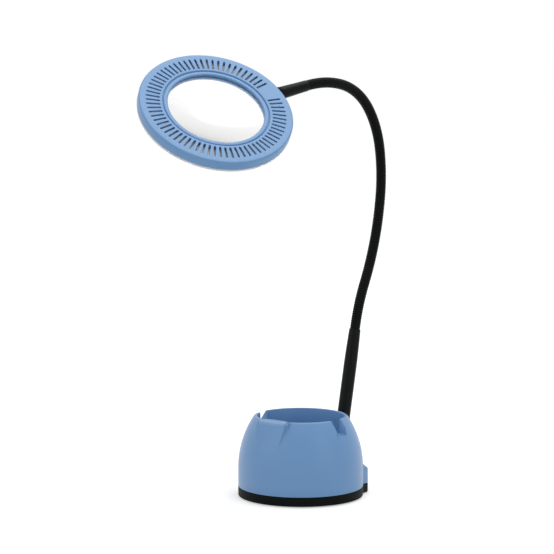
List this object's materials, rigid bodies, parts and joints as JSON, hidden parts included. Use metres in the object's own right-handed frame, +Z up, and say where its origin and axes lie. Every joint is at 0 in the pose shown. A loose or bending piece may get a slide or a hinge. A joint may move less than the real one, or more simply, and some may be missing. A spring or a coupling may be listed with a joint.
{
  "type": "ring magnifier lamp",
  "caption": "Desk magnifier lamp: slotted ring head round a clear lens, ribbed gooseneck with sleeves, and a domed base with an open tool cup, push button and rear housing.",
  "frame": {"origin": "centre of the base's underside, on the foot pad", "axes": "+Z up, -Y towards the button housing, +Y towards the neck's foot"},
  "size_m": [0.191, 0.3049, 0.4558],
  "materials": {
    "blue_plastic": "satin moulded plastic",
    "black_plastic": "fine moulded texture",
    "foam_pad": "matt foam",
    "steel": "zinc plated",
    "circuit_board": "solder mask",
    "components": "moulded",
    "black_sleeve": "smooth satin",
    "black_neck": "satin black",
    "lens_glass": "polished",
    "white_board": "white solder mask",
    "led_light": "phosphor",
    "diffuser_plastic": "frosted translucent"
  },
  "bodies": {
    "root": {"base_shell": "blue_plastic", "base_tray": "black_plastic", "foot_pad": "foam_pad", "ballast": "steel", "ballast_screws": "steel", "base_screws": "steel", "switch_board": "circuit_board", "tact_switch": "black_plastic", "driver_board": "circuit_board", "driver_parts": "components", "dc_jack": "black_plastic", "lower_sleeve": "black_sleeve", "neck_root": "black_neck", "neck_nut": "steel"},
    "button": {"power_button": "blue_plastic", "switch_plunger": "black_plastic"},
    "link_1": {"neck_1": "black_neck"},
    "link_2": {"neck_2": "black_neck"},
    "link_3": {"neck_3": "black_neck"},
    "link_4": {"neck_4": "black_neck"},
    "link_5": {"neck_5": "black_neck"},
    "link_6": {"neck_6": "black_neck"},
    "link_7": {"neck_7": "black_neck"},
    "arm_end": {"upper_sleeve": "black_sleeve", "swivel_clip": "steel"},
    "head": {"neck_collar": "black_plastic", "collar_nut": "steel", "head_cover": "blue_plastic", "lens": "lens_glass", "lens_retainer": "blue_plastic", "led_board": "white_board", "leds": "led_light", "diffuser": "diffuser_plastic", "head_screws": "steel"}
  },
  "joints": [
    {"name": "button_press", "type": "slide", "parent": "root", "child": "button", "axis": [0, 0, 1], "range_m": [-0.0012, 0], "stiffness_N_per_m": 400, "springref_m": 0.001},
    {"name": "neck_bend_1", "type": "hinge", "parent": "root", "child": "link_1", "pos_m": [0, 0.10024, 0.16566], "axis": [1, 0, 0], "range_deg": [-25, 15]},
    {"name": "neck_sway_2", "type": "hinge", "parent": "link_1", "child": "link_2", "pos_m": [0, 0.1179, 0.21227], "axis": [0, 0.8788, -0.4772], "range_deg": [-20, 20]},
    {"name": "neck_bend_3", "type": "hinge", "parent": "link_2", "child": "link_3", "pos_m": [-0.00087, 0.13882, 0.25764], "axis": [0.9994, 0.0146, 0.0317], "range_deg": [-25, 20]},
    {"name": "neck_sway_4", "type": "hinge", "parent": "link_3", "child": "link_4", "pos_m": [-0.00237, 0.15172, 0.30582], "axis": [-0.0086, 0.9876, -0.1565], "range_deg": [-20, 20]},
    {"name": "neck_bend_5", "type": "hinge", "parent": "link_4", "child": "link_5", "pos_m": [-0.00308, 0.15085, 0.35556], "axis": [0.9999, 0.0127, 0.0059], "range_deg": [-25, 20]},
    {"name": "neck_sway_6", "type": "hinge", "parent": "link_5", "child": "link_6", "pos_m": [-0.00371, 0.129, 0.39987], "axis": [-0.0202, 0.7489, 0.6624], "range_deg": [-20, 20]},
    {"name": "neck_bend_7", "type": "hinge", "parent": "link_6", "child": "link_7", "pos_m": [-0.00776, 0.08683, 0.42481], "axis": [0.9883, -0.1166, 0.0988], "range_deg": [-25, 20]},
    {"name": "neck_sway_8", "type": "hinge", "parent": "link_7", "child": "arm_end", "pos_m": [-0.01927, 0.03866, 0.42462], "axis": [-0.1668, -0.1772, 0.9699], "range_deg": [-20, 20]},
    {"name": "head_swivel", "type": "hinge", "parent": "arm_end", "child": "head", "pos_m": [-0.03127, 0.00362, 0.41615], "axis": [-0.3159, -0.9223, -0.2228], "range_deg": [-45, 135]}
  ]
}
